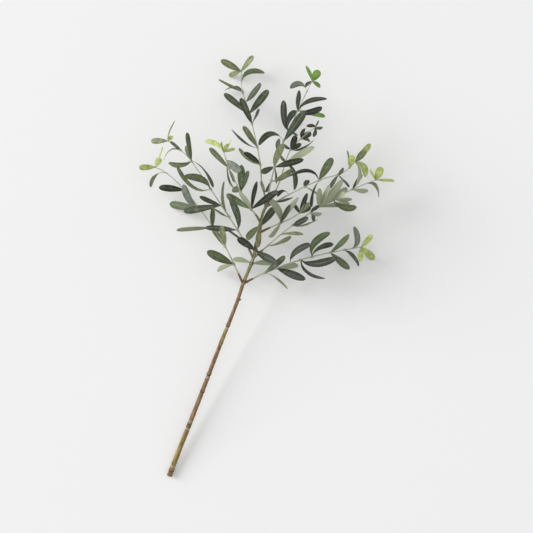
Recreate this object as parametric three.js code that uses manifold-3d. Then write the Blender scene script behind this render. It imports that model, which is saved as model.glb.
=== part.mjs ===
import * as THREE from "three";
import { mergeVertices } from "three/addons/utils/BufferGeometryUtils.js";
import Module from "manifold-3d";

// An olive branch lying on a flat surface. Millimetres; the main stem runs along +Y, +Z is up.
const STEM_FOOT_RADIUS = 5.2;
const STEM_TOP_RADIUS = 2.8;
const TWIG_FOOT_RADIUS = 1.9;
const TWIG_TIP_RADIUS = 0.9;
const COLLAR_LENGTH = 23;
const COLLAR_RADIUS = 3;
const COLLAR_TAPER = 0.8; // how much thinner a collar is at its far end
const SLEEVE_LENGTH = 7;
const SLEEVE_WALL = 1.6;
const LEAF_THICKNESS = 1.5;
const PETIOLE_HALF_WIDTH = 0.9;
const LEAF_ARCH = 0.06; // how far a leaf's middle stands above its chord, for each mm of length
const GAP = 0.4; // clearance between neighbouring pieces
const BUD_RADIUS = 2.2; // the bud at a tip, which the last leaves spring from
const INSET = 0.5; // how far from a twig's middle its single leaves start
const SET_INSET = 0.9; // the same for a set's leaves, as a share of their sleeve's bore
const STEP = 26; // length of one facet along a twig

const STEM = {
  route: [
    [0, -6, 5.2], [0, 55, 12], [1, 161, 25], [1, 267, 39], [2, 367, 54], [0, 412, 60], [1, 459, 66],
    [-3, 496, 70], [-13, 552, 78], [-12, 577, 84],
  ],
  sets: [
    [466, [62, -175, -55, 15, 135, 0], [62, 25, -50, 15, -145, 0]],
    [494,
      [62, 165, 50, 15, 20, 0], [66, -10, 46, 15, 0, -2],
      [76, 165, -15, 15, 75, 0], [36, 100, 50, 13, -65, 0]],
    [543, [62, 75, -40, 15, 0, 0], [56, -115, -50, 15, -20, 0], [52, -75, 35, 13, 30, 0]],
  ],
};

// The ten side twigs. A set's first number is how far along its twig it grows; the rest are its leaves,
// and so is a tip's list: [length, heading, rise, width, roll, sideways bow], in millimetres and degrees.
// A heading of 0 points along +X and 90 along +Y. A twig carries its single leaves itself.
const TWIGS = [
  {
    name: "low_left",
    route: [
      [0, 412, 60], [-25, 436, 62], [-60, 468, 58], [-118, 510, 48], [-179, 546, 42], [-223, 564, 43],
      [-249, 567, 46],
    ],
    sets: [
      [44, [60, -140, -55, 15, 130, 0], [66, 175, 30, 18, 0, 0]],
      [84, [50, 120, 35, 14, 30, 0], [52, 145, -30, 14, -40, 0]],
      [129, [74, -155, -10, 14, 55, 0], [56, 110, 40, 15, -50, 0]],
      [175, [66, 145, 30, 16, 30, 8], [78, -170, -35, 16, 0, 0]],
      [224, [58, -165, 30, 15, 30, 0]],
      [273, [50, -120, -30, 14, 75, -11]],
    ],
    tip: [
      [38, -155, 35, 12, 0, 0], [28, 85, -40, 12, 0, 0], [46, 90, 20, 11, 70, 0],
    ],
  },
  {
    name: "left",
    route: [
      [1, 467, 67], [-12, 479, 73], [-35, 498, 82], [-97, 543, 97], [-161, 588, 104], [-197, 610, 106],
      [-240, 623, 104],
    ],
    sets: [
      [68, [72, 125, 25, 15, 20, -6], [70, -165, -25, 15, -35, 0]],
      [99, [72, 120, -10, 15, 65, 8], [46, 170, 35, 12, -70, 0]],
      [127, [78, -150, -15, 15, 20, 0], [54, -180, 35, 15, -50, 0]],
      [165, [66, 175, 30, 15, 0, -10], [82, 165, 0, 14, -55, 16]],
      [232,
        [56, -155, -35, 15, 45, 5], [66, 120, 35, 15, -55, 0],
        [44, 135, -40, 13, 45, 0], [80, -30, -35, 15, -75, 8]],
      [263, [34, 160, 45, 11, 55, 0], [42, -130, -25, 12, -70, -11]],
    ],
    tip: [
      [38, -160, -25, 12, 0, 0], [18, 65, 45, 9, -25, 0], [46, 90, 25, 3, 145, 3],
    ],
  },
  {
    name: "inner_left",
    route: [
      [-11, 538, 76.5], [-25, 549, 86], [-44, 560, 102], [-77, 587, 126], [-107, 615, 142],
      [-127, 640, 152],
    ],
    sets: [
      [39,
        [66, 170, -30, 15, 20, 0], [66, 100, 35, 15, -55, 0],
        [64, 55, 10, 15, 20, 0], [56, 145, 40, 15, -130, 0]],
      [85,
        [66, 110, 40, 15, 0, 0], [58, 90, -40, 14, -40, 0],
        [42, 175, -65, 14, 0, 0], [62, 135, 5, 14, -75, 12]],
      [140, [62, 155, -25, 15, 45, 0], [40, -50, -45, 13, -65, 0]],
      [157, [42, -20, 30, 16, 0, 0]],
    ],
    tip: [
      [48, 170, -25, 11, 35, -6], [24, 80, 45, 9, -25, 0], [26, 40, -30, 9, 40, 0],
      [24, 125, 35, 9, -65, 0], [28, 80, 0, 9, 65, 0],
    ],
  },
  {
    name: "tall_left",
    route: [
      [-13, 570, 81.5], [-20, 587, 86], [-36, 611, 88], [-55, 649, 80], [-78, 687, 68],
      [-112, 736, 50], [-142, 775, 36], [-158, 810, 28],
    ],
    sets: [
      [24, [36, 125, 35, 10, 55, 0]],
      [88, [52, 165, 45, 15, 45, 0], [62, 160, -30, 14, -55, 5]],
      [124, [62, 145, 40, 14, 40, 0], [62, 165, 0, 15, -70, 6]],
      [176, [64, 135, 35, 15, 30, 0], [44, 85, -40, 13, -70, 0]],
      [198, [70, 70, 35, 15, 0, 0], [68, 160, -15, 15, -30, 0]],
      [224, [56, 70, 35, 16, 40, 0]],
      [246, [60, 175, 30, 14, 70, 0], [44, -170, -35, 13, -55, -9]],
      [269, [56, 45, -25, 14, 50, 12]],
    ],
    tip: [
      [52, 175, 30, 14, 0, 0], [38, -145, -47, 10, 0, 0], [44, 70, 30, 12, 25, 0],
    ],
  },
  {
    name: "tall_right",
    route: [
      [-12, 577, 84], [-15, 591, 92], [-19, 610, 108], [-27, 676, 128], [-24, 727, 138],
      [-20, 789, 136], [-16, 833, 128],
    ],
    sets: [
      [55, [40, -90, -55, 13, 65, 0], [56, 50, 35, 14, -40, -5]],
      [84,
        [42, -135, -50, 13, 25, 0], [66, 35, 30, 15, -30, 0],
        [44, -60, -45, 13, 70, 0], [62, 90, 40, 14, 0, 3]],
      [111, [40, 110, -40, 13, 50, 0], [30, -30, -50, 10, -55, 0]],
      [140, [60, -150, -35, 15, 45, -17], [78, 75, 25, 17, 0, 0]],
      [161, [70, 120, 35, 15, 35, 5], [56, 90, -35, 15, -45, 7], [32, 5, -55, 11, 55, 0]],
      [206,
        [56, 10, -15, 14, 45, 0], [50, 110, 45, 15, -50, 0],
        [64, 45, -15, 15, 45, 9], [56, 25, 35, 15, -45, -7]],
      [247, [42, -175, -35, 14, 50, -12]],
    ],
    tip: [
      [40, 135, 40, 12, 60, 0], [34, 80, -35, 16, 0, 0], [30, -5, -50, 10, 25, 0],
      [22, -130, -45, 11, -45, 0],
    ],
  },
  {
    name: "inner_right",
    route: [
      [-13, 568, 80.5], [-9, 592, 79], [-5, 625, 80], [-8, 692, 80], [8, 731, 76], [23, 756, 72],
    ],
    sets: [
      [100, [62, -50, -25, 15, 45, 9], [68, 50, 20, 15, -160, 0]],
      [129,
        [38, 90, 45, 12, 0, 0], [52, 45, -20, 15, -75, -6],
        [28, 170, -55, 11, 55, 0], [26, 50, 30, 11, -25, 0]],
      [160, [34, 55, -45, 12, 0, 0], [28, 95, 50, 11, -45, 0], [26, 15, -50, 11, 45, 0]],
    ],
    tip: [
      [24, -165, 40, 11, 55, 0], [22, 10, -55, 11, -55, 0], [24, -75, -40, 11, 45, 0],
      [26, 90, 65, 11, -70, 0],
    ],
  },
  {
    name: "right_upper",
    route: [
      [-13, 572, 82], [3, 588, 93], [29, 618, 106], [67, 657, 120], [96, 679, 128], [108, 691, 130],
      [120, 715, 132],
    ],
    sets: [
      [25, [42, 35, 35, 13, 65, 0]],
      [55, [32, -150, -45, 11, 65, -9]],
      [92, [62, -5, -45, 14, 70, 1], [30, 85, 65, 11, -25, 0]],
      [124, [76, -160, 25, 15, 60, -17], [62, 80, 40, 16, 0, 0], [62, -85, -30, 15, 70, -5]],
      [163, [28, 65, 60, 11, 45, 0], [40, -105, -45, 13, -55, 0], [44, -20, -45, 13, 65, 0]],
      [190, [38, 100, 55, 13, 0, 0], [44, 115, -40, 12, -70, 0]],
    ],
    tip: [
      [40, 70, 45, 13, 0, 0], [54, 70, -25, 13, -25, 0], [44, -30, -35, 14, 0, 8],
      [56, -65, -35, 15, -125, 7],
    ],
  },
  {
    name: "right_middle",
    route: [
      [-5, 520, 72.5], [5, 531, 68], [21, 547, 62], [41, 567, 54], [55, 585, 50],
    ],
    sets: [
      [46,
        [66, 135, 40, 15, 160, -6], [52, -105, -50, 15, -125, 0],
        [56, 80, 45, 15, 50, 0], [68, 75, -20, 15, -130, 0]],
    ],
    tip: [
      [48, 90, 30, 13, 40, 0], [30, 50, -30, 11, -25, 0], [34, 70, 35, 11, 155, 0],
      [24, 140, -30, 11, -45, 0],
    ],
  },
  {
    name: "right_lower",
    route: [
      [2, 470, 67.2], [15, 494, 71.5], [39, 538, 80], [70, 586, 84], [105, 633, 82], [144, 674, 76],
      [173, 701, 70],
    ],
    sets: [
      [35, [62, 45, -35, 14, 60, -3]],
      [64, [60, 25, 35, 14, 65, 5]],
      [100, [52, 45, 50, 15, 35, 0], [60, 35, -30, 14, -75, -5]],
      [145, [40, -40, -65, 13, 40, 0], [34, 65, 55, 11, -45, 0], [40, 10, -60, 13, 130, 0]],
      [165,
        [54, 115, 50, 15, 145, 0], [60, 85, 40, 15, -130, 0],
        [80, 70, 30, 15, 160, -2], [72, 30, -30, 15, -135, 0],
        [76, 55, -25, 15, 150, 0]],
      [196, [62, 5, -35, 15, 30, -9], [44, 45, 55, 13, -150, 0], [50, 20, -40, 15, 120, 0]],
      [241, [48, 15, -50, 13, 135, 0], [44, 80, 45, 13, -55, 0]],
      [273, [50, -25, -45, 14, 50, 10]],
    ],
    tip: [
      [34, 90, 40, 16, 0, 0], [30, 145, 40, 9, -55, 0], [44, 20, -30, 11, 55, 0],
    ],
  },
  {
    name: "low_right",
    route: [
      [0, 412, 60], [15, 429, 60], [35, 450, 60], [89, 497, 55], [145, 536, 46], [195, 566, 38],
    ],
    sets: [
      [50, [62, 60, 35, 15, 35, 0], [66, -15, -35, 14, -75, 5]],
      [75, [66, 0, 25, 16, 0, 0], [56, 30, -40, 15, -145, 0]],
      [103, [64, 65, 30, 15, 35, 10]],
      [125, [78, 25, 20, 16, 0, -9], [66, -15, -20, 15, -60, -11]],
      [149, [68, 75, 30, 15, 0, 12], [56, 50, -25, 15, -50, 8]],
      [188, [58, 65, 30, 15, 45, 0], [56, -20, -25, 15, -20, 0]],
      [217, [50, -25, -30, 15, 55, 4], [60, 90, 35, 16, -50, -19]],
    ],
    tip: [
      [42, 70, 40, 11, 0, 0], [54, -20, -45, 15, 0, 0], [36, -75, 35, 10, 0, 0],
    ],
  },
];

const wasm = await Module();
wasm.setup();

const UP = new THREE.Vector3(0, 0, 1);

function solidFrom(geometry) {
  geometry.deleteAttribute("normal");
  geometry.deleteAttribute("uv");
  const closed = mergeVertices(geometry, 1e-4);
  const mesh = new wasm.Mesh({
    numProp: 3,
    vertProperties: new Float32Array(closed.attributes.position.array),
    triVerts: new Uint32Array(closed.index.array),
  });
  return new wasm.Manifold(mesh);
}

function geometryFrom(solid) {
  const mesh = solid.getMesh();
  const geometry = new THREE.BufferGeometry();
  geometry.setAttribute("position", new THREE.BufferAttribute(mesh.vertProperties, 3));
  geometry.setIndex(new THREE.BufferAttribute(mesh.triVerts, 1));
  return geometry;
}

// The piece that is left when clearance cuts have taken small scraps off a solid.
function largest(solid) {
  const pieces = solid.decompose();
  return pieces.reduce((best, piece) => (piece.volume() > best.volume() ? piece : best));
}

function joined(solids) {
  return solids.reduce((whole, solid) => whole.add(solid));
}

function curveThrough(points) {
  const corners = points.map((point) => new THREE.Vector3(...point));
  return new THREE.CatmullRomCurve3(corners, false, "catmullrom", 0.5);
}

// A closed round tube along part of a curve. radiusAt gives its radius at each fraction of the stretch.
function tube(curve, start, end, sides, steps, radiusAt) {
  const geometry = new THREE.CylinderGeometry(1, 1, 1, sides, steps);
  const places = geometry.attributes.position;
  for (let i = 0; i < places.count; i += 1) {
    const share = places.getY(i) + 0.5;
    const along = THREE.MathUtils.lerp(start, end, share);
    const tangent = curve.getTangentAt(along);
    const side = tangent.clone().cross(UP).normalize();
    const rise = side.clone().cross(tangent);
    const radius = radiusAt(share);
    const place = curve.getPointAt(along);
    place.addScaledVector(side, places.getX(i) * radius);
    place.addScaledVector(rise, places.getZ(i) * radius);
    places.setXYZ(i, place.x, place.y, place.z);
  }
  return solidFrom(geometry);
}

// Half the width of a leaf blade, widest past its middle, with a round tip.
function halfWidth(share, width) {
  const blade = (width / 2) * Math.max(0, Math.sin(Math.PI * share ** 1.45)) ** 0.5;
  const shoulder = Math.min(1, share / 0.3) ** 0.4;
  const petiole = share < 0.25 ? PETIOLE_HALF_WIDTH : 0;
  return Math.max(blade * shoulder, petiole);
}

function direction(heading, rise) {
  const turn = THREE.MathUtils.degToRad(heading);
  const climb = THREE.MathUtils.degToRad(rise);
  const flat = Math.cos(climb);
  return new THREE.Vector3(flat * Math.cos(turn), flat * Math.sin(turn), Math.sin(climb));
}

// A leaf from its base point: a flattened blade that bows sideways and arches upwards.
function leaf(base, [length, heading, rise, width, roll, sideBow]) {
  const along = direction(heading, rise);
  const spin = THREE.MathUtils.degToRad(roll);
  const right = along.clone().cross(UP).normalize();
  const normal = right.clone().cross(along);
  const across = right.clone().applyAxisAngle(along, -spin);
  const through = normal.clone().applyAxisAngle(along, -spin);
  const geometry = new THREE.SphereGeometry(1, 4, 5);
  const places = geometry.attributes.position;
  for (let i = 0; i < places.count; i += 1) {
    const share = (1 - places.getY(i)) / 2;
    const bow = 4 * share * (1 - share);
    const place = base.clone().addScaledVector(along, length * share);
    place.addScaledVector(right, -sideBow * bow);
    place.addScaledVector(normal, LEAF_ARCH * length * bow);
    const isEdge = Math.abs(places.getX(i)) > 1e-6;
    const isFace = Math.abs(places.getZ(i)) > 1e-6;
    const halfThickness = (LEAF_THICKNESS / 2) * Math.min(1, 3 * Math.sin(Math.PI * share));
    place.addScaledVector(across, isEdge ? -Math.sign(places.getX(i)) * halfWidth(share, width) : 0);
    place.addScaledVector(through, isFace ? Math.sign(places.getZ(i)) * halfThickness : 0);
    places.setXYZ(i, place.x, place.y, place.z);
  }
  return solidFrom(geometry);
}

const MATERIALS = {
  stem: { color: 0x8c734e, roughness: 0.8 },
  twig: { color: 0xa5ac91, roughness: 0.7 },
  leaf: { color: 0x4f5f45, roughness: 0.5 },
};

const branch = new THREE.Group();

function addPiece(name, solid, finish) {
  const material = new THREE.MeshStandardMaterial({ ...MATERIALS[finish], metalness: 0 });
  const piece = new THREE.Mesh(geometryFrom(solid), material);
  piece.name = name;
  branch.add(piece);
}

function stemRadius(share) {
  return THREE.MathUtils.lerp(STEM_FOOT_RADIUS, STEM_TOP_RADIUS, share);
}

function twigRadius(share) {
  return THREE.MathUtils.lerp(TWIG_FOOT_RADIUS, TWIG_TIP_RADIUS, share);
}

// The rod of a stem or twig, grown by some clearance all round.
function rod(curve, sides, radiusAt, grown) {
  const steps = Math.round(curve.getLength() / STEP);
  return tube(curve, 0, 1, sides, steps, (share) => radiusAt(share) + grown);
}

// Leaves that spring from the side of a twig, reach from its middle, each on the side that it points to.
function leavesAt(curve, distance, reach, rows) {
  const along = distance / curve.getLength();
  const tangent = curve.getTangentAt(along);
  return rows.map((row) => {
    const outwards = direction(row[1], row[2]).projectOnPlane(tangent).normalize();
    const base = curve.getPointAt(along).addScaledVector(outwards, reach);
    return leaf(base, row);
  });
}

// The bud at a twig's tip with the youngest leaves.
function tipLeaves(curve, rows) {
  const end = curve.getPoint(1);
  const bud = new THREE.SphereGeometry(BUD_RADIUS, 6, 4).translate(end.x, end.y, end.z);
  return [solidFrom(bud), ...rows.map((row) => leaf(end, row))];
}

// The brown collar round a twig's foot.
function collar(curve) {
  const end = COLLAR_LENGTH / curve.getLength();
  return tube(curve, 0, end, 6, 1, (share) => COLLAR_RADIUS - COLLAR_TAPER * share);
}

// Two or more leaves on one sleeve that sits round its stem or twig.
function leafSet(curve, radiusAt, [distance, ...rows]) {
  const length = curve.getLength();
  const start = (distance - SLEEVE_LENGTH / 2) / length;
  const end = (distance + SLEEVE_LENGTH / 2) / length;
  const bore = radiusAt(distance / length) + GAP;
  const sleeve = tube(curve, start, end, 6, 1, () => bore + SLEEVE_WALL);
  return joined([sleeve, ...leavesAt(curve, distance, SET_INSET * bore, rows)]);
}

const stemCurve = curveThrough(STEM.route);
addPiece("main_stem", rod(stemCurve, 8, stemRadius, 0), "stem");

const clearances = [rod(stemCurve, 8, stemRadius, GAP)];
const sets = STEM.sets.map((row, i) => ({
  name: `stem_leaves_${i + 1}`,
  solid: leafSet(stemCurve, stemRadius, row).subtract(clearances[0]),
}));

for (const { name, route, sets: rows, tip } of TWIGS) {
  const curve = curveThrough(route);
  const singles = rows.filter((row) => row.length === 2);
  const shared = rows.filter((row) => row.length > 2);
  const grown = singles.flatMap(([distance, ...leaves]) => leavesAt(curve, distance, INSET, leaves));
  const foot = [rod(curve, 6, twigRadius, 0), collar(curve)];
  const whole = joined([...foot, ...grown, ...tipLeaves(curve, tip)]);
  const cleared = clearances.reduce((solid, cut) => solid.subtract(cut), whole);
  addPiece(`twig_${name}`, largest(cleared), "twig");
  const ownCut = rod(curve, 6, twigRadius, GAP);
  shared.forEach((row, i) => {
    const solid = leafSet(curve, twigRadius, row).subtract(ownCut);
    sets.push({ name: `${name}_leaves_${i + 1}`, solid });
  });
  clearances.push(ownCut);
  clearances.push(tube(curve, 0, COLLAR_LENGTH / curve.getLength(), 6, 1, () => COLLAR_RADIUS + GAP));
}

for (const { name, solid } of sets) {
  addPiece(name, largest(solid), "leaf");
}

// The origin is under the middle of the branch, on the surface that it lies on.
const box = new THREE.Box3().setFromObject(branch);
const middle = box.getCenter(new THREE.Vector3());
branch.position.set(-middle.x, -middle.y, -box.min.z);

export default branch;
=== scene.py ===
"""An olive branch lying on a pale surface, seen from above.

The lists give the branch in millimetres and degrees, measured from the stem's cut end. Each leaf is
(tone, length, heading, rise, width, roll, sideways bow): a heading of 0 points along +X, 90 along +Y.
"""
import bisect
import math
import random

import bmesh
import bpy
from mathutils import Matrix, Vector


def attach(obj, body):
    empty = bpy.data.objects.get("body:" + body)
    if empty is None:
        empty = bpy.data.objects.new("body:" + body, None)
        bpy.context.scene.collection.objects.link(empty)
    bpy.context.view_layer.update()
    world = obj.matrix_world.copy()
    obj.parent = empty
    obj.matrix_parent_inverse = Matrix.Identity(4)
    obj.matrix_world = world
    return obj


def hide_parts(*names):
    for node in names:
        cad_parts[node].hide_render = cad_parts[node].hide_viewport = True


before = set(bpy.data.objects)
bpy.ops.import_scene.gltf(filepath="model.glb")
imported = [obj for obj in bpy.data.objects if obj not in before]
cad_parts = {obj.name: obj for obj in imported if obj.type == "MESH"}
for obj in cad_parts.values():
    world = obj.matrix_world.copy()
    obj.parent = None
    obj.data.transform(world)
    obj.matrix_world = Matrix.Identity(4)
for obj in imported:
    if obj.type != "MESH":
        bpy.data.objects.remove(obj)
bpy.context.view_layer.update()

MM = 0.001
# The middle of the branch, on the surface, in the lists' millimetres.
ORIGIN = Vector((-23.2, 426.9, -0.2))
UP = Vector((0, 0, 1))

STEM_FOOT_RADIUS = 5.2
STEM_TOP_RADIUS = 2.8
STEM_SIDES = 20
STEM_STEP = 1.5  # from one cross-section of the stem to the next
STEM_RINGS = (13, 110, 116, 188, 225, 332, 430)
RING_HEIGHT = 0.65
RING_LENGTH = 2.2
GROOVE_DEPTH = 0.5  # of the groove just below each ring
GROOVE_LENGTH = 1.6
GROOVE_GAP = 4
RING_LINE_GAP = 2.4  # from each ring down to its dark line
WORN_PLACES = (21, 105, 121, 218, 326)  # where the bark is rubbed pale
OLIVE_STRETCHES = ((20, 84), (298, 328))  # where the stem's bark is yellower
STEM_BUD_PLACE = 389
STEM_BUD_RADIUS = 1.9
STEM_BUD_STRETCH = 1.7
FORK_PLACE = 532  # the stem is thicker where most of the twigs leave it
FORK_SWELL = 1.3
FORK_LENGTH = 18
TWIG_FOOT_RADIUS = 1.6
TWIG_TIP_RADIUS = 0.75
TWIG_SIDES = 10
TWIG_STEP = 3
KNOT_HEIGHT = 0.6  # of the knot under each single leaf
KNOT_LENGTH = 2.5
TIP_BUD_RADIUS = 1.8
TIP_BUD_STRETCH = 1.3
SINGLE_LEAF_REACH = 0.5  # from the twig's middle out to a single leaf's foot
COLLAR_LENGTH = 23
COLLAR_RADIUS = 2.8
COLLAR_TAPER = 0.9
COLLAR_SIDES = 14
COLLAR_STEP = 0.9
BROWN_COLLARS = ("low_left", "low_right", "right_middle")
SLEEVE_LENGTH = 7
SLEEVE_WALL = 1.2
SLEEVE_GAP = 0.3
SLEEVE_STEP = 0.8
LEAF_THICKNESS = 0.55
LEAF_ARCH = 0.06
LEAF_TWIST = 16  # degrees either way, from foot to tip
LEAF_CUPS = (-0.22, 0.12)  # how far a blade's edges rise, as a share of half its width
LEAF_SHADES = (0.85, 1.15)
TIP_BLUNTNESS = (2.0, 3.6)
RIPPLE = 0.025  # how far a blade's edges ripple, as a share of its width
MIDRIB_GROOVE = 0.3
WIDEST = 0.6  # where along a leaf it is widest
BASE_TAPER = 0.78
PETIOLE_HALF_WIDTH = 0.8
PETIOLE_SHARE = 0.25  # how much of a leaf keeps at least its petiole's width
TIP_HALF_WIDTH = 0.12
LEAF_COLUMNS = 4
LEAF_ROWS = 10
ROUTE_SAMPLES = 200

# Leaf colours, as sRGB of 0 to 255.
TONES = {
    "K": (54, 58, 49),
    "D": (72, 81, 65),
    # S, slate grey-green: partly the leaves' own colour, partly a painted grey sheen.
    "S": (120, 127, 119),
    "M": (101, 113, 78),
    "O": (136, 142, 107),
    "P": (160, 166, 136),
    # Q, a darker copy of the pale underside tone P: painted shade on the low leaves that hang near the
    # floor.
    "Q": (84, 94, 62),
    "T": (150, 140, 100),
    "L": (202, 215, 128),
    "G": (120, 164, 60),
}

STEM = {
    "route": [
        (0, -6, 5.2), (0, 55, 12), (1, 161, 25), (1, 267, 39), (2, 367, 54), (0, 412, 60),
        (1, 459, 66), (-3, 496, 70), (-13, 552, 78), (-12, 577, 84),
    ],
    "sets": [
        (466, [
            ("Q", 62, -175, -55, 15, 135, 0), ("P", 62, 25, -50, 15, -145, 0),
        ]),
        (494, [
            ("K", 62, 165, 50, 15, 20, 0), ("K", 66, -10, 46, 15, 0, -2),
            ("D", 76, 165, -15, 15, 75, 0), ("D", 36, 100, 50, 13, -65, 0),
        ]),
        (543, [
            ("D", 62, 75, -40, 15, 0, 0), ("M", 56, -115, -50, 15, -20, 0),
            ("T", 52, -75, 35, 13, 30, 0),
        ]),
    ],
}

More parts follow.
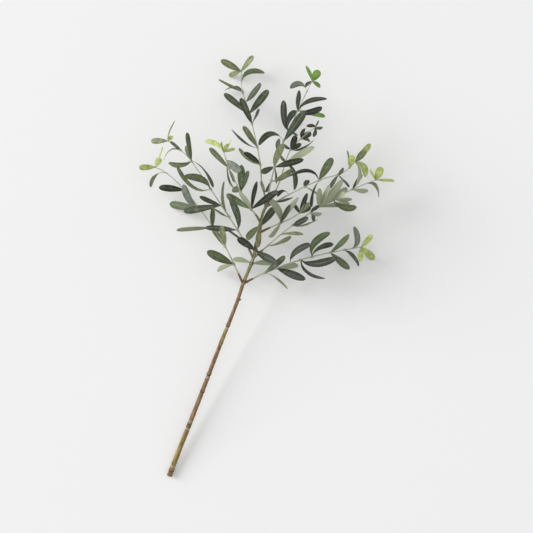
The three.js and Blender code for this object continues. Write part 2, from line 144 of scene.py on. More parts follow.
TWIGS = {
    "low_left": {
        "route": [
            (0, 412, 60), (-25, 436, 62), (-60, 468, 58), (-118, 510, 48), (-179, 546, 42),
            (-223, 564, 43), (-249, 567, 46),
        ],
        "sets": [
            (44, [
                ("Q", 60, -140, -55, 15, 130, 0), ("M", 66, 175, 30, 18, 0, 0),
            ]),
            (84, [
                ("O", 50, 120, 35, 14, 30, 0), ("O", 52, 145, -30, 14, -40, 0),
            ]),
            (129, [
                ("O", 74, -155, -10, 14, 55, 0), ("M", 56, 110, 40, 15, -50, 0),
            ]),
            (175, [
                ("S", 66, 145, 30, 16, 30, 8), ("M", 78, -170, -35, 16, 0, 0),
            ]),
            (224, [("K", 58, -165, 30, 15, 30, 0)]),
            (273, [("O", 50, -120, -30, 14, 75, -11)]),
        ],
        "tip": [
            ("L", 38, -155, 35, 12, 0, 0), ("L", 28, 85, -40, 12, 0, 0),
            ("L", 46, 90, 20, 11, 70, 0),
        ],
    },
    "left": {
        "route": [
            (1, 467, 67), (-12, 479, 73), (-35, 498, 82), (-97, 543, 97), (-161, 588, 104),
            (-197, 610, 106), (-240, 623, 104),
        ],
        "sets": [
            (68, [
                ("D", 72, 125, 25, 15, 20, -6), ("K", 70, -165, -25, 15, -35, 0),
            ]),
            (99, [
                ("M", 72, 120, -10, 15, 65, 8), ("O", 46, 170, 35, 12, -70, 0),
            ]),
            (127, [
                ("D", 78, -150, -15, 15, 20, 0), ("D", 54, -180, 35, 15, -50, 0),
            ]),
            (165, [
                ("M", 66, 175, 30, 15, 0, -10), ("O", 82, 165, 0, 14, -55, 16),
            ]),
            (232, [
                ("M", 56, -155, -35, 15, 45, 5), ("M", 66, 120, 35, 15, -55, 0),
                ("M", 44, 135, -40, 13, 45, 0), ("K", 80, -30, -35, 15, -75, 8),
            ]),
            (263, [
                ("M", 34, 160, 45, 11, 55, 0), ("O", 42, -130, -25, 12, -70, -11),
            ]),
        ],
        "tip": [
            ("O", 38, -160, -25, 12, 0, 0), ("L", 18, 65, 45, 9, -25, 0),
            ("P", 46, 90, 25, 3, 145, 3),
        ],
    },
    "inner_left": {
        "route": [
            (-11, 538, 76.5), (-25, 549, 86), (-44, 560, 102), (-77, 587, 126), (-107, 615, 142),
            (-127, 640, 152),
        ],
        "sets": [
            (39, [
                ("M", 66, 170, -30, 15, 20, 0), ("K", 66, 100, 35, 15, -55, 0),
                ("K", 64, 55, 10, 15, 20, 0), ("P", 56, 145, 40, 15, -130, 0),
            ]),
            (85, [
                ("M", 66, 110, 40, 15, 0, 0), ("O", 58, 90, -40, 14, -40, 0),
                ("M", 42, 175, -65, 14, 0, 0), ("O", 62, 135, 5, 14, -75, 12),
            ]),
            (140, [
                ("M", 62, 155, -25, 15, 45, 0), ("D", 40, -50, -45, 13, -65, 0),
            ]),
            (157, [("S", 42, -20, 30, 16, 0, 0)]),
        ],
        "tip": [
            ("L", 48, 170, -25, 11, 35, -6), ("L", 24, 80, 45, 9, -25, 0),
            ("L", 26, 40, -30, 9, 40, 0), ("L", 24, 125, 35, 9, -65, 0),
            ("L", 28, 80, 0, 9, 65, 0),
        ],
    },
    "tall_left": {
        "route": [
            (-13, 570, 81.5), (-20, 587, 86), (-36, 611, 88), (-55, 649, 80), (-78, 687, 68),
            (-112, 736, 50), (-142, 775, 36), (-158, 810, 28),
        ],
        "sets": [
            (24, [("O", 36, 125, 35, 10, 55, 0)]),
            (88, [
                ("K", 52, 165, 45, 15, 45, 0), ("O", 62, 160, -30, 14, -55, 5),
            ]),
            (124, [
                ("O", 62, 145, 40, 14, 40, 0), ("D", 62, 165, 0, 15, -70, 6),
            ]),
            (176, [
                ("D", 64, 135, 35, 15, 30, 0), ("D", 44, 85, -40, 13, -70, 0),
            ]),
            (198, [
                ("D", 70, 70, 35, 15, 0, 0), ("D", 68, 160, -15, 15, -30, 0),
            ]),
            (224, [("D", 56, 70, 35, 16, 40, 0)]),
            (246, [
                ("O", 60, 175, 30, 14, 70, 0), ("D", 44, -170, -35, 13, -55, -9),
            ]),
            (269, [("M", 56, 45, -25, 14, 25, 12)]),
        ],
        "tip": [
            ("O", 52, 175, 30, 14, 0, 0), ("O", 38, -145, -47, 10, 0, 0),
            ("O", 44, 70, 30, 12, 25, 0),
        ],
    },
    "tall_right": {
        "route": [
            (-12, 577, 84), (-15, 591, 92), (-19, 610, 108), (-27, 676, 128), (-24, 727, 138),
            (-20, 789, 136), (-16, 833, 128),
        ],
        "sets": [
            (55, [
                ("K", 40, -90, -55, 13, 65, 0), ("O", 56, 50, 35, 14, -40, -5),
            ]),
            (84, [
                ("D", 42, -135, -50, 13, 25, 0), ("K", 66, 35, 30, 15, -30, 0),
                ("K", 44, -60, -45, 13, 70, 0), ("O", 62, 90, 40, 14, 0, 3),
            ]),
            (111, [
                ("D", 40, 110, -40, 13, 50, 0), ("O", 30, -30, -50, 10, -55, 0),
            ]),
            (140, [
                ("D", 60, -150, -35, 15, 45, -17), ("D", 78, 75, 25, 17, 0, 0),
            ]),
            (161, [
                ("K", 70, 120, 35, 15, 35, 5), ("D", 56, 90, -35, 15, -45, 7),
                ("K", 32, 5, -55, 11, 55, 0),
            ]),
            (206, [
                ("G", 56, 10, -15, 14, 45, 0), ("D", 50, 110, 45, 15, -50, 0),
                ("K", 64, 45, -15, 15, 45, 9), ("K", 56, 25, 35, 15, -45, -7),
            ]),
            (247, [("S", 42, -175, -35, 14, 50, -12)]),
        ],
        "tip": [
            ("G", 40, 135, 40, 12, 60, 0), ("G", 34, 80, -35, 16, 0, 0),
            ("G", 30, -5, -50, 10, 25, 0), ("K", 22, -130, -45, 11, -45, 0),
        ],
    },
    "inner_right": {
        "route": [
            (-13, 568, 80.5), (-9, 592, 79), (-5, 625, 80), (-8, 692, 80), (8, 731, 76),
            (23, 756, 72),
        ],
        "sets": [
            (100, [
                ("D", 62, -50, -25, 15, 45, 9), ("P", 68, 50, 20, 15, -160, 0),
            ]),
            (129, [
                ("K", 38, 90, 45, 12, 0, 0), ("K", 52, 45, -20, 15, -75, -6),
                ("K", 28, 170, -55, 11, 55, 0), ("K", 26, 50, 30, 11, -25, 0),
            ]),
            (160, [
                ("K", 34, 55, -45, 12, 0, 0), ("K", 28, 95, 50, 11, -45, 0),
                ("D", 26, 15, -50, 11, 45, 0),
            ]),
        ],
        "tip": [
            ("D", 24, -165, 40, 11, 55, 0), ("D", 22, 10, -55, 11, -55, 0),
            ("D", 24, -75, -40, 11, 45, 0), ("D", 26, 90, 65, 11, -70, 0),
        ],
    },
    "right_upper": {
        "route": [
            (-13, 572, 82), (3, 588, 93), (29, 618, 106), (67, 657, 120), (96, 679, 128),
            (108, 691, 130), (120, 715, 132),
        ],
        "sets": [
            (25, [("K", 42, 35, 35, 13, 65, 0)]),
            (55, [("K", 32, -150, -45, 11, 65, -9)]),
            (92, [
                ("O", 62, -5, -45, 14, 70, 1), ("D", 30, 85, 65, 11, -25, 0),
            ]),
            (124, [
                ("K", 76, -160, 25, 15, 60, -17), ("M", 62, 80, 40, 16, 0, 0),
                ("K", 62, -85, -30, 15, 70, -5),
            ]),
            (163, [
                ("D", 28, 65, 60, 11, 45, 0), ("D", 40, -105, -45, 13, -55, 0),
                ("K", 44, -20, -45, 13, 65, 0),
            ]),
            (190, [
                ("L", 38, 100, 55, 13, 0, 0), ("G", 44, 115, -40, 12, -70, 0),
            ]),
        ],
        "tip": [
            ("M", 40, 70, 45, 13, 0, 0), ("L", 54, 70, -25, 13, -25, 0),
            ("L", 44, -30, -35, 14, 0, 8), ("P", 56, -65, -35, 15, -125, 7),
        ],
    },
    "right_middle": {
        "route": [
            (-5, 520, 72.5), (5, 531, 68), (21, 547, 62), (41, 567, 54), (55, 585, 50),
        ],
        "sets": [
            (46, [
                ("P", 66, 135, 40, 15, 160, -6), ("P", 52, -105, -50, 15, -125, 0),
                ("D", 56, 80, 45, 15, 50, 0), ("P", 68, 75, -20, 15, -130, 0),
            ]),
        ],
        "tip": [
            ("K", 48, 90, 30, 13, 40, 0), ("D", 30, 50, -30, 11, -25, 0),
            ("P", 34, 70, 35, 11, 155, 0), ("K", 24, 140, -30, 11, -45, 0),
        ],
    },
    "right_lower": {
        "route": [
            (2, 470, 67.2), (15, 494, 71.5), (39, 538, 80), (70, 586, 84), (105, 633, 82),
            (144, 674, 76), (173, 701, 70),
        ],
        "sets": [
            (35, [("O", 62, 45, -35, 14, 60, -3)]),
            (64, [("O", 60, 25, 35, 14, 65, 5)]),
            (100, [
                ("K", 52, 45, 50, 15, 35, 0), ("O", 60, 35, -30, 14, -75, -5),
            ]),
            (145, [
                ("D", 40, -40, -65, 13, 40, 0), ("K", 34, 65, 55, 11, -45, 0),
                ("P", 40, 10, -60, 13, 130, 0),
            ]),
            (165, [
                ("P", 54, 115, 50, 15, 145, 0), ("P", 60, 85, 40, 15, -130, 0),
                ("P", 80, 70, 30, 15, 160, -2), ("P", 72, 30, -30, 15, -135, 0),
                ("P", 76, 55, -25, 15, 150, 0),
            ]),
            (196, [
                ("M", 62, 5, -35, 15, 30, -9), ("P", 44, 45, 55, 13, -150, 0),
                ("P", 50, 20, -40, 15, 120, 0),
            ]),
            (241, [
                ("P", 48, 15, -50, 13, 135, 0), ("K", 44, 80, 45, 13, -55, 0),
            ]),
            (273, [("O", 50, -25, -45, 14, 50, 10)]),
        ],
        "tip": [
            ("L", 34, 90, 40, 16, 0, 0), ("L", 30, 145, 40, 9, -55, 0),
            ("L", 44, 20, -30, 11, 55, 0),
        ],
    },
    "low_right": {
        "route": [
            (0, 412, 60), (15, 429, 60), (35, 450, 60), (89, 497, 55), (145, 536, 46),
            (195, 566, 38),
        ],
        "sets": [
            (50, [
                ("D", 62, 60, 35, 15, 35, 0), ("O", 66, -15, -35, 14, -75, 5),
            ]),
            (75, [
                ("K", 66, 0, 25, 16, 0, 0), ("P", 56, 30, -40, 15, -145, 0),
            ]),
            (103, [("K", 64, 65, 30, 15, 35, 10)]),
            (125, [
                ("K", 78, 25, 20, 16, 0, -9), ("K", 66, -15, -20, 15, -60, -11),
            ]),
            (149, [
                ("M", 68, 75, 30, 15, 0, 12), ("D", 56, 50, -25, 15, -50, 8),
            ]),
            (188, [
                ("M", 58, 65, 30, 15, 45, 0), ("M", 56, -20, -25, 15, -20, 0),
            ]),
            (217, [
                ("D", 50, -25, -30, 15, 55, 4), ("S", 60, 90, 35, 16, -50, -19),
            ]),
        ],
        "tip": [
            ("L", 42, 70, 40, 11, 0, 0), ("L", 54, -20, -45, 15, 0, 0),
            ("L", 36, -75, 35, 10, 0, 0),
        ],
    },
}

rng = random.Random(11)


def linear(colour):
    """An sRGB colour of 0 to 255 as the linear RGBA that shaders use."""
    channels = []
    for value in colour:
        share = value / 255
        channels.append(share / 12.92 if share <= 0.04045 else ((share + 0.055) / 1.055) ** 2.4)
    return (*channels, 1.0)


# ---- routes ---------------------------------------------------------------------------------


class Route:
    """A smooth line through given points, read by distance along it in millimetres."""

    def __init__(self, points):
        inner = [Vector(point) for point in points]
        before = 2 * inner[0] - inner[1]
        after = 2 * inner[-1] - inner[-2]
        self.points = [before, *inner, after]
        self.spans = len(inner) - 1
        samples = [self.blend(i / ROUTE_SAMPLES) for i in range(ROUTE_SAMPLES + 1)]
        self.lengths = [0.0]
        for near, far in zip(samples, samples[1:]):
            self.lengths.append(self.lengths[-1] + (far - near).length)
        self.length = self.lengths[-1]

    def blend(self, share):
        scaled = min(max(share, 0.0), 1.0) * self.spans
        span = min(int(scaled), self.spans - 1)
        t = scaled - span
        a, b, c, d = self.points[span:span + 4]
        out_of_b = (c - a) / 2
        into_c = (d - b) / 2
        cubic = 2 * b - 2 * c + out_of_b + into_c
        square = 3 * c - 3 * b - 2 * out_of_b - into_c
        return cubic * t ** 3 + square * t ** 2 + out_of_b * t + b

    def place(self, distance):
        distance = min(max(distance, 0.0), self.length)
        i = min(bisect.bisect_right(self.lengths, distance), ROUTE_SAMPLES) - 1
        part = (distance - self.lengths[i]) / (self.lengths[i + 1] - self.lengths[i])
        return self.blend((i + part) / ROUTE_SAMPLES)

    def tangent(self, distance):
        near = self.place(distance - 0.5)
        far = self.place(distance + 0.5)
        return (far - near).normalized()

    def sides(self, distance):
        """The tangent, and the two directions square to it."""
        tangent = self.tangent(distance)
        right = tangent.cross(UP).normalized()
        return tangent, right, right.cross(tangent)


def direction(heading, rise):
    turn = math.radians(heading)
    climb = math.radians(rise)
    flat = math.cos(climb)
    return Vector((flat * math.cos(turn), flat * math.sin(turn), math.sin(climb)))


# ---- shapes ---------------------------------------------------------------------------------


def hump(off, length):
    """1 in the middle of a smooth hump, and near 0 at twice its length from there."""
    return math.exp(-(off / length) ** 2)


def new_bmesh():
    bm = bmesh.new()
    bm.loops.layers.uv.new("UVMap")
    bm.loops.layers.float_color.new("tone")
    return bm


def join_shape(bm, shape):
    """Moves one finished shape into the piece that it belongs to."""
    mesh = bpy.data.meshes.new("shape")
    shape.to_mesh(mesh)
    shape.free()
    bm.from_mesh(mesh)
    bpy.data.meshes.remove(mesh)


def add_tube(bm, route, start, end, radius_at, sides, step, finish, ends=None):
    """A closed round tube along part of a route, with radius_at(distance) as its radius."""
    tube = new_bmesh()
    bmesh.ops.create_cone(
        tube, cap_ends=True, cap_tris=False, segments=sides, radius1=1, radius2=1, depth=1
    )
    rungs = [edge for edge in tube.edges if abs(edge.verts[0].co.z - edge.verts[1].co.z) > 0.5]
    cuts = max(1, round((end - start) / step) - 1)
    bmesh.ops.subdivide_edges(tube, edges=rungs, cuts=cuts)
    uv = tube.loops.layers.uv["UVMap"]
    for face in tube.faces:
        is_end = len(face.verts) == sides
        face.material_index = ends if is_end and ends is not None else finish
        middle = face.calc_center_median()
        mean = math.atan2(middle.y, middle.x)
        for loop in face.loops:
            co = loop.vert.co
            off = (math.atan2(co.y, co.x) - mean + math.pi) % math.tau - math.pi
            distance = start + (co.z + 0.5) * (end - start)
            loop[uv].uv = ((mean + off) / math.tau, distance * MM)
    for vert in tube.verts:
        distance = start + (vert.co.z + 0.5) * (end - start)
        _, right, rise = route.sides(distance)
        radius = radius_at(distance)
        place = route.place(distance)
        vert.co = place + right * vert.co.x * radius + rise * vert.co.y * radius
    bmesh.ops.recalc_face_normals(tube, faces=tube.faces)
    join_shape(bm, tube)


def add_bud(bm, place, radius, stretch, towards, finish):
    """A small pointed egg."""
    bud = new_bmesh()
    bmesh.ops.create_uvsphere(bud, u_segments=10, v_segments=8, radius=radius)
    turn = towards.to_track_quat("Z", "Y").to_matrix().to_4x4()
    stretched = Matrix.Diagonal((1, 1, stretch, 1))
    bmesh.ops.transform(bud, verts=bud.verts, matrix=Matrix.Translation(place) @ turn @ stretched)
    for face in bud.faces:
        face.material_index = finish
    join_shape(bm, bud)


def half_width(share, width, bluntness):
    """Half the blade's width, widest a little past its middle, over a narrow petiole."""
    taper = 1 - BASE_TAPER * (1 - min(1.0, share / WIDEST)) ** 1.5
    past = max(0.0, share - WIDEST) / (1 - WIDEST)
    tip = max(0.0, 1 - past ** bluntness) ** 0.5
    shoulder = min(1.0, share / 0.16) ** 0.7
    least = PETIOLE_HALF_WIDTH if share < PETIOLE_SHARE else TIP_HALF_WIDTH
    return max((width / 2) * taper * tip * shoulder, least)


def flat_blade(upper, under, tone):
    """A flat blade one unit long and wide with an underside, and the set of the underside's points."""
    blade = new_bmesh()
    bmesh.ops.create_grid(blade, x_segments=LEAF_COLUMNS, y_segments=LEAF_ROWS, size=0.5)
    uv = blade.loops.layers.uv["UVMap"]
    for face in blade.faces:
        face.material_index = upper
        for loop in face.loops:
            loop[uv].uv = (loop.vert.co.x + 0.5, loop.vert.co.y + 0.5)
    sheet = [*blade.faces, *blade.edges, *blade.verts]
    copy = bmesh.ops.extrude_face_region(blade, geom=sheet, use_keep_orig=True)
    below = {item for item in copy["geom"] if isinstance(item, bmesh.types.BMVert)}
    colour = blade.loops.layers.float_color["tone"]
    for face in blade.faces:
        if any(vert in below for vert in face.verts):
            face.material_index = under
        for loop in face.loops:
            loop[colour] = (*tone, 1.0)
    return blade, below


def add_leaf(bm, base, leaf, upper, under):
    """A thin blade with a grooved midrib, on the chord from its base to its tip."""
    tone, length, heading, rise, width, roll, bow = leaf
    along = direction(heading, rise)
    right = along.cross(UP).normalized()
    normal = right.cross(along)
    twist = math.radians(rng.uniform(-LEAF_TWIST, LEAF_TWIST))
    cup = rng.uniform(*LEAF_CUPS)
    shade = rng.uniform(*LEAF_SHADES)
    bluntness = rng.uniform(*TIP_BLUNTNESS)
    wave = rng.uniform(0, math.tau)
    blade, below = flat_blade(upper, under, [channel * shade for channel in linear(TONES[tone])[:3]])
    for vert in blade.verts:
        across = vert.co.x * 2
        share = 1 - (0.5 - vert.co.y) ** 1.3  # the rows lie closer together towards the tip
        spin = -math.radians(roll) - twist * (share - 0.5)
        turned = Matrix.Rotation(spin, 3, along)
        half = half_width(share, width, bluntness)
        arch = 4 * share * (1 - share)
        lift = cup * half * across * across
        lift += RIPPLE * width * math.sin(wave + 9 * share) * across
        lift -= MIDRIB_GROOVE * hump(across, 0.2) * min(1, half / 3)
        lift -= LEAF_THICKNESS if vert in below else 0
        early = share ** 0.75  # the sideways bow is fullest before the middle
        place = base + along * length * share - right * bow * 4 * early * (1 - early)
        place += normal * LEAF_ARCH * length * arch
        vert.co = place + turned @ (right * across * half + normal * lift)
    bmesh.ops.recalc_face_normals(blade, faces=blade.faces)
    join_shape(bm, blade)


# ---- materials ------------------------------------------------------------------------------


class Finish:
    """A node material with its Principled shader, and short ways to add nodes."""

    def __init__(self, name, roughness):
        self.material = bpy.data.materials.new(name)
        self.material.use_nodes = True
        self.nodes = self.material.node_tree.nodes
        self.links = self.material.node_tree.links
        self.shader = self.nodes["Principled BSDF"]
        self.shader.inputs["Roughness"].default_value = roughness
        self.coordinates = self.nodes.new("ShaderNodeTexCoord")

    def put(self, target, value):
        if isinstance(value, bpy.types.NodeSocket):
            self.links.new(value, target)
        else:
            target.default_value = value

    def math(self, operation, first, second=0.0, third=0.0):
        node = self.nodes.new("ShaderNodeMath")
        node.operation = operation
        for target, value in zip(node.inputs, (first, second, third)):
            self.put(target, value)
        return node.outputs[0]

    def band(self, value, low, high):
        """0 below low and 1 above high, smoothly."""
        node = self.nodes.new("ShaderNodeMapRange")
        node.interpolation_type = "SMOOTHSTEP"
        self.put(node.inputs["Value"], value)
        node.inputs["From Min"].default_value = low
        node.inputs["From Max"].default_value = high
        return node.outputs[0]

    def mix(self, factor, first, second, blend="MIX"):
        node = self.nodes.new("ShaderNodeMix")
        node.data_type = "RGBA"
        node.blend_type = blend
        self.put(node.inputs["Factor"], factor)
        self.put(node.inputs["A"], first)
        self.put(node.inputs["B"], second)
        return node.outputs["Result"]

    def noise_node(self, coordinate, scale, detail, stretch):
        mapping = self.nodes.new("ShaderNodeMapping")
        mapping.inputs["Scale"].default_value = stretch
        self.links.new(self.coordinates.outputs[coordinate], mapping.inputs["Vector"])
        node = self.nodes.new("ShaderNodeTexNoise")
        node.inputs["Scale"].default_value = scale
        node.inputs["Detail"].default_value = detail
        self.links.new(mapping.outputs["Vector"], node.inputs["Vector"])
        return node

    def noise(self, scale, detail=3.0, stretch=(1, 1, 1)):
        return self.noise_node("Object", scale, detail, stretch).outputs["Fac"]

    def streaks(self):
        """Long thin streaks on the object's own UV map, different from leaf to leaf."""
        node = self.noise_node("UV", 1.0, 3.0, (9, 1.6, 1))
        node.noise_dimensions = "4D"
        self.put(node.inputs["W"], self.math("MULTIPLY", self.noise(12, 0), 30.0))
        return node.outputs["Fac"]

    def uv(self):
        node = self.nodes.new("ShaderNodeSeparateXYZ")
        self.links.new(self.coordinates.outputs["UV"], node.inputs[0])
        return node.outputs[0], node.outputs[1]

    def tone(self):
        node = self.nodes.new("ShaderNodeAttribute")
        node.attribute_name = "tone"
        return node.outputs["Color"]

    def bump(self, height, distance, strength=0.6):
        node = self.nodes.new("ShaderNodeBump")
        node.inputs["Strength"].default_value = strength
        node.inputs["Distance"].default_value = distance
        self.links.new(height, node.inputs["Height"])
        self.links.new(node.outputs["Normal"], self.shader.inputs["Normal"])

    def specular(self, level):
        self.shader.inputs["Specular IOR Level"].default_value = level

    def colour(self, value):
        self.put(self.shader.inputs["Base Color"], value)


def leaf_pattern(finish):
    """The midrib and the side veins of a blade, each 0 to 1, from its own UV map."""
    across, along = finish.uv()
    off = finish.math("ABSOLUTE", finish.math("SUBTRACT", across, 0.5))
    midrib = finish.math("SUBTRACT", 1.0, finish.band(off, 0.015, 0.06))
    lean = finish.math("MULTIPLY_ADD", off, -0.35, along)
    wave = finish.math("SINE", finish.math("MULTIPLY", lean, 75.0))
    veins = finish.band(wave, 0.55, 1.0)
    return off, midrib, veins


def leaf_upper():
    """Satin upper face: its leaf's tone, mottled, with a pale midrib and faint side veins."""
    finish = Finish("leaf upper face", 0.5)
    off, midrib, veins = leaf_pattern(finish)
    mottle = finish.band(finish.noise(110, 5), 0.36, 0.64)
    darker = finish.mix(1.0, finish.tone(), (0.6, 0.62, 0.56, 1), "MULTIPLY")
    colour = finish.mix(mottle, darker, finish.tone())
    specks = finish.math("MULTIPLY", finish.band(finish.noise(420, 2), 0.5, 0.7), 0.3)
    colour = finish.mix(specks, colour, darker)
    pale = finish.mix(0.5, finish.tone(), linear((190, 200, 160)))
    blotch = finish.band(finish.noise(60, 5), 0.56, 0.72)
    colour = finish.mix(finish.math("MULTIPLY", blotch, 0.3), colour, pale)
    # Pale streaks that run along the blade.
    pale_streaks = finish.band(finish.streaks(), 0.56, 0.68)
    colour = finish.mix(finish.math("MULTIPLY", pale_streaks, 0.3), colour, pale)
    colour = finish.mix(finish.math("MULTIPLY", veins, 0.16), colour, pale)
    colour = finish.mix(finish.math("MULTIPLY", midrib, 0.42), colour, pale)
    rim = finish.math("MULTIPLY", finish.band(off, 0.3, 0.47), 0.7)
    finish.colour(finish.mix(rim, colour, darker))
    height = finish.math("MULTIPLY_ADD", veins, 0.5, finish.noise(900, 2))
    finish.bump(finish.math("SUBTRACT", height, midrib), 0.0003)
    finish.specular(0.3)
    return finish.material


def leaf_under():
    """Matt sage underside with a raised midrib."""
    finish = Finish("leaf underside", 0.72)
    _, midrib, veins = leaf_pattern(finish)
    sage = finish.mix(0.5, finish.tone(), linear((172, 180, 152)))
    mottle = finish.math("MULTIPLY", finish.noise(160, 3), 0.35)
    colour = finish.mix(mottle, sage, linear((134, 142, 112)))
    raised = finish.math("MAXIMUM", midrib, finish.math("MULTIPLY", veins, 0.4))
    finish.colour(finish.mix(finish.math("MULTIPLY", raised, 0.45), colour, linear((196, 202, 166))))
    finish.bump(finish.math("ADD", raised, finish.noise(700, 2)), 0.0003)
    return finish.material


def stem_bark():
    """Brown ribbed stem with streaks and dark rings, yellower in places and greener at its top."""
    finish = Finish("stem bark", 0.8)
    _, along = finish.uv()
    streaks = finish.noise(700, 5, (1, 0.05, 1))
    light = finish.band(streaks, 0.35, 0.65)
    brown = finish.mix(light, linear((90, 66, 42)), linear((158, 130, 90)))
    olive = finish.mix(light, linear((104, 88, 40)), linear((166, 148, 84)))
    green = finish.mix(light, linear((92, 94, 58)), linear((154, 154, 112)))
    reddish = finish.math("MULTIPLY", finish.band(finish.noise(300, 4), 0.52, 0.7), 0.6)
    colour = finish.mix(reddish, brown, linear((138, 92, 58)))
    shift = finish.math("SUBTRACT", finish.noise(70, 3), 0.5)
    ragged = finish.math("MULTIPLY_ADD", shift, 0.04, along)
    for start, end in OLIVE_STRETCHES:
        begun = finish.band(ragged, (start - 8) * MM, (start + 8) * MM)
        ended = finish.band(ragged, (end - 4) * MM, (end + 8) * MM)
        stretch = finish.math("SUBTRACT", begun, ended)
        colour = finish.mix(finish.math("MULTIPLY", stretch, 0.8), colour, olive)
    colour = finish.mix(finish.band(along, 0.4, 0.46), colour, green)
    for ring in STEM_RINGS:
        off = finish.math("ABSOLUTE", finish.math("SUBTRACT", along, (ring - RING_LINE_GAP) * MM))
        line = finish.math("SUBTRACT", 1.0, finish.band(off, 0.0006, 0.0018))
        colour = finish.mix(finish.math("MULTIPLY", line, 0.8), colour, linear((52, 38, 24)))
    for place in WORN_PLACES:
        off = finish.math("ABSOLUTE", finish.math("SUBTRACT", along, place * MM))
        worn = finish.math("SUBTRACT", 1.0, finish.band(off, 0.001, 0.0035))
        colour = finish.mix(finish.math("MULTIPLY", worn, 0.4), colour, linear((196, 186, 158)))
    finish.colour(colour)
    finish.bump(finish.math("ADD", streaks, finish.noise(1500, 2)), 0.0008)
    return finish.material


def twig_bark():
    """Pale grey-green twig, browner in places."""
    finish = Finish("twig bark", 0.75)
    mottle = finish.band(finish.noise(60, 3), 0.4, 0.75)
    colour = finish.mix(mottle, linear((160, 164, 136)), linear((128, 122, 92)))
    fine = finish.noise(900, 3, (1, 0.4, 1))
    finish.colour(finish.mix(finish.math("MULTIPLY", fine, 0.5), colour, linear((200, 203, 180))))
    finish.bump(fine, 0.0005)
    return finish.material


def collar_bark(name, dark, light):
    """A collar with ribs round it."""
    finish = Finish(name, 0.75)
    _, along = finish.uv()
    ribs = finish.math("SINE", finish.math("MULTIPLY", along, 1900.0))
    fine = finish.noise(500, 4)
    colour = finish.mix(finish.band(fine, 0.35, 0.7), linear(dark), linear(light))
    shadow = finish.math("MULTIPLY", finish.band(ribs, 0.2, 1), 0.35)
    finish.colour(finish.mix(shadow, colour, linear((62, 46, 28))))
    finish.bump(finish.math("ADD", ribs, fine), 0.0004)
    return finish.material


def cut_wood():
    """The pale fibrous face of the stem's cut end."""
    finish = Finish("cut end", 0.85)
    fibres = finish.noise(900, 4)
    finish.colour(finish.mix(fibres, linear((120, 92, 58)), linear((176, 150, 108))))
    finish.bump(fibres, 0.0006)
    return finish.material


def floor_paint():
    finish = Finish("floor paint", 0.9)
    finish.colour(linear((240, 240, 240)))
    finish.specular(0.1)
    return finish.material


FINISHES = [
    leaf_upper(),
    leaf_under(),
    twig_bark(),
    collar_bark("brown collar", (96, 72, 44), (140, 110, 72)),
    collar_bark("green collar", (98, 96, 62), (152, 150, 110)),
    stem_bark(),
    cut_wood(),
]
UPPER, UNDER, TWIG, COLLAR, GREEN_COLLAR, STEM_BARK, CUT = range(7)


# ---- pieces ---------------------------------------------------------------------------------


def finish_piece(bm, name):
    """Turns the shape into a piece in metres, in the place of the CAD node of the same name."""
    bmesh.ops.translate(bm, verts=bm.verts, vec=-ORIGIN)
    bmesh.ops.scale(bm, verts=bm.verts, vec=(MM, MM, MM))
    for face in bm.faces:
        face.smooth = True
    mesh = bpy.data.meshes.new(name)
    bm.to_mesh(mesh)
    bm.free()
    mesh.set_sharp_from_angle(angle=math.radians(50))
    for material in FINISHES:
        mesh.materials.append(material)
    piece = bpy.data.objects.new(name + ".fine", mesh)
    bpy.context.scene.collection.objects.link(piece)
    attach(piece, "root")
    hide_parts(name)


def stem_radius(route):
    return lambda distance: (
        STEM_FOOT_RADIUS + (STEM_TOP_RADIUS - STEM_FOOT_RADIUS) * distance / route.length
    )


def twig_radius(route):
    return lambda distance: (
        TWIG_FOOT_RADIUS + (TWIG_TIP_RADIUS - TWIG_FOOT_RADIUS) * distance / route.length
    )


def outward(route, distance, leaf):
    """The way square to the twig on which a leaf stands out of it."""
    tangent = route.tangent(distance)
    towards = direction(leaf[2], leaf[3])
    return (towards - tangent * towards.dot(tangent)).normalized()


def add_leaves(bm, route, distance, reach, leaves):
    for leaf in leaves:
        base = route.place(distance) + outward(route, distance, leaf) * reach
        add_leaf(bm, base, leaf, UPPER, UNDER)


def make_leaf_set(name, route, radius_at, distance, leaves):
    bm = new_bmesh()
    bore = radius_at(distance) + SLEEVE_GAP
    start = distance - SLEEVE_LENGTH / 2

    def sleeve_radius(place):
        share = (place - start) / SLEEVE_LENGTH
        return bore + SLEEVE_WALL * math.sin(math.pi * min(max(share, 0.06), 0.94)) ** 0.5

    bark = GREEN_COLLAR if name.startswith("stem") else TWIG
    end = start + SLEEVE_LENGTH
    add_tube(bm, route, start, end, sleeve_radius, COLLAR_SIDES, SLEEVE_STEP, bark)
    add_leaves(bm, route, distance, bore, leaves)
    finish_piece(bm, name)


def make_stem():
    route = Route(STEM["route"])
    plain = stem_radius(route)

    def ribbed(distance):
        swell = 0.0
        for ring in STEM_RINGS:
            swell += RING_HEIGHT * hump(distance - ring, RING_LENGTH)
            swell -= GROOVE_DEPTH * hump(distance - ring + GROOVE_GAP, GROOVE_LENGTH)
        swell += FORK_SWELL * hump(distance - FORK_PLACE, FORK_LENGTH)
        uneven = 0.12 * math.sin(distance / 6.5) + 0.1 * math.sin(distance / 2.1)
        return plain(distance) + swell + uneven

    bm = new_bmesh()
    add_tube(bm, route, 0, route.length, ribbed, STEM_SIDES, STEM_STEP, STEM_BARK, CUT)
    tangent, right, rise = route.sides(STEM_BUD_PLACE)
    spot = route.place(STEM_BUD_PLACE) + right * plain(STEM_BUD_PLACE)
    leaning = (right + tangent * 0.6).normalized()
    add_bud(bm, spot, STEM_BUD_RADIUS, STEM_BUD_STRETCH, leaning, COLLAR)
    finish_piece(bm, "main_stem")
    for number, (distance, leaves) in enumerate(STEM["sets"], start=1):
        make_leaf_set(f"stem_leaves_{number}", route, plain, distance, leaves)


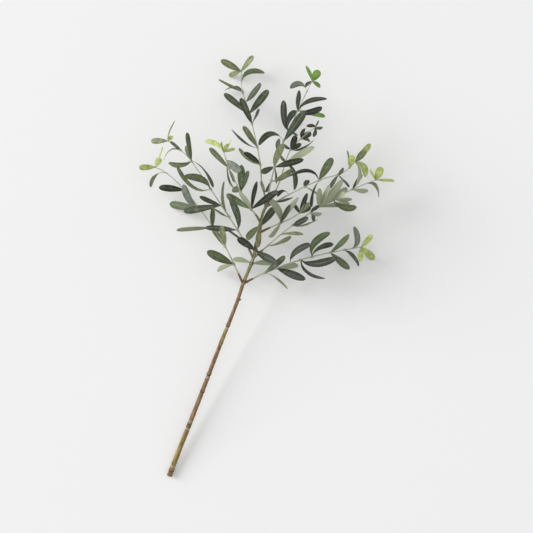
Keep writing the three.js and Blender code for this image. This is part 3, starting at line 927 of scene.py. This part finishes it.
def make_twig(name, twig):
    """A side twig with its collar, its single leaves and its tip, and then its leaf sets."""
    route = Route(twig["route"])
    plain = twig_radius(route)
    shared = [entry for entry in twig["sets"] if len(entry[1]) > 1]
    single = [entry for entry in twig["sets"] if len(entry[1]) == 1]

    def knotted(distance):
        knots = sum(hump(distance - place, KNOT_LENGTH) for place, _ in single)
        return plain(distance) + KNOT_HEIGHT * knots + 0.08 * math.sin(distance / 3)

    def collar_radius(distance):
        share = distance / COLLAR_LENGTH
        return COLLAR_RADIUS - COLLAR_TAPER * share + 0.15 * math.sin(distance * 1.9)

    bm = new_bmesh()
    add_tube(bm, route, 0, route.length, knotted, TWIG_SIDES, TWIG_STEP, TWIG)
    bark = COLLAR if name in BROWN_COLLARS else GREEN_COLLAR
    add_tube(bm, route, 0.5, COLLAR_LENGTH, collar_radius, COLLAR_SIDES, COLLAR_STEP, bark)
    for distance, leaves in single:
        add_leaves(bm, route, distance, SINGLE_LEAF_REACH, leaves)
    tip = route.place(route.length)
    add_bud(bm, tip, TIP_BUD_RADIUS, TIP_BUD_STRETCH, route.tangent(route.length), TWIG)
    for leaf in twig["tip"]:
        add_leaf(bm, tip, leaf, UPPER, UNDER)
    finish_piece(bm, "twig_" + name)
    for number, (distance, leaves) in enumerate(shared, start=1):
        make_leaf_set(f"{name}_leaves_{number}", route, plain, distance, leaves)


# ---- the scene around it --------------------------------------------------------------------

CAMERA_HEIGHT = 4.0
VIEW_WIDTH = 1.066  # how much of the branch's own level the picture takes in
VIEW_LEVEL = 0.06
VIEW_CENTRE = Vector((31.3, 461.1, 0))
CAMERA_TURN = 21.07  # the stem leans this far to the right
FLOOR_HALF_WIDTH = 12
LAMP_DISTANCE = 30
WORLD_STRENGTH = 0.61


def make_camera():
    data = bpy.data.cameras.new("camera")
    data.angle = 2 * math.atan(VIEW_WIDTH / 2 / (CAMERA_HEIGHT - VIEW_LEVEL))
    camera = bpy.data.objects.new("camera", data)
    bpy.context.scene.collection.objects.link(camera)
    camera.location = (VIEW_CENTRE - ORIGIN) * MM
    camera.location.z = CAMERA_HEIGHT
    camera.rotation_euler = (0, 0, math.radians(CAMERA_TURN))
    bpy.context.scene.camera = camera


def make_floor():
    bm = bmesh.new()
    bmesh.ops.create_grid(bm, x_segments=1, y_segments=1, size=FLOOR_HALF_WIDTH)
    mesh = bpy.data.meshes.new("floor")
    bm.to_mesh(mesh)
    bm.free()
    mesh.materials.append(floor_paint())
    floor = bpy.data.objects.new("floor", mesh)
    bpy.context.scene.collection.objects.link(floor)


def make_lamp(name, size, power, azimuth, elevation):
    """A square soft lamp that faces the branch; azimuth 0 is the +X side."""
    data = bpy.data.lights.new(name, "AREA")
    data.size = size
    data.energy = power
    lamp = bpy.data.objects.new(name, data)
    bpy.context.scene.collection.objects.link(lamp)
    towards = direction(azimuth, elevation)
    lamp.location = towards * LAMP_DISTANCE
    lamp.rotation_euler = towards.to_track_quat("Z", "Y").to_euler()


def make_lights():
    bpy.context.scene.view_settings.view_transform = "Standard"
    world = bpy.data.worlds.new("studio")
    world.use_nodes = True
    background = world.node_tree.nodes["Background"]
    background.inputs["Color"].default_value = (1, 1, 1, 1)
    background.inputs["Strength"].default_value = WORLD_STRENGTH
    bpy.context.scene.world = world
    make_lamp("key", size=17, power=6950, azimuth=178, elevation=26)
    make_lamp("top", size=20, power=930, azimuth=90, elevation=80)


make_camera()
make_floor()
make_lights()
make_stem()
for twig_name, twig_parts in TWIGS.items():
    make_twig(twig_name, twig_parts)
